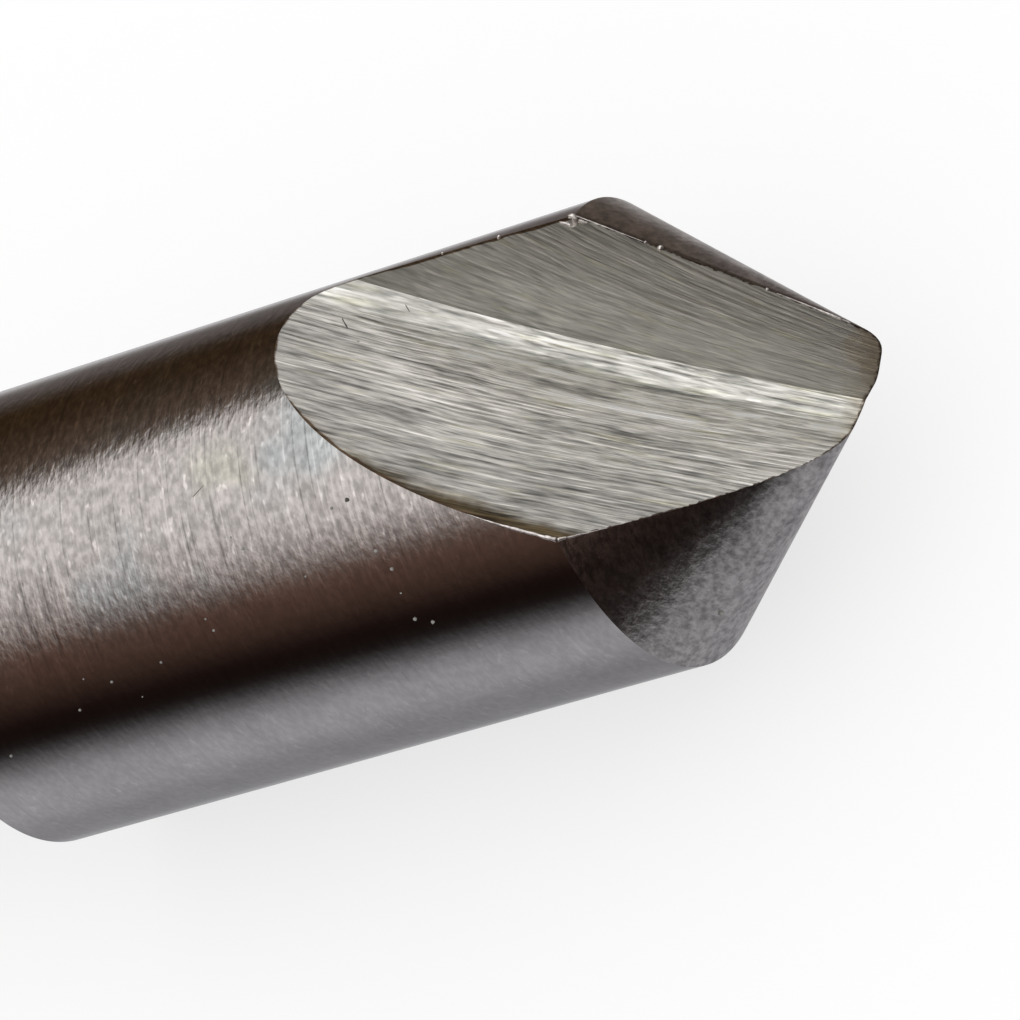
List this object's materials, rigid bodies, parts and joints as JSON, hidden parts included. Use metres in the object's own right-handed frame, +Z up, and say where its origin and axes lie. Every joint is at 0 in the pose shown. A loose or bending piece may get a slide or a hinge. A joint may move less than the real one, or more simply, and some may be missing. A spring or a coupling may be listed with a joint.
{
  "type": "countersink bit",
  "caption": "Single-flute 82 degree countersink bit: round body, relieved conical point with one ground L-shaped flute, and a plain reduced round shank.",
  "frame": {"origin": "on the tool's axis, where the straight wall of the shank starts behind the body", "axes": "+X along the axis towards the point, +Z up as the tool lies on the side of its body with the flute up"},
  "size_m": [0.0508, 0.0126, 0.0126],
  "materials": {
    "ground_steel": "ground tool steel: fine rings round the body, coarser wheel marks in the flute"
  },
  "bodies": {
    "root": {"countersink_bit": "ground_steel"}
  },
  "joints": []
}
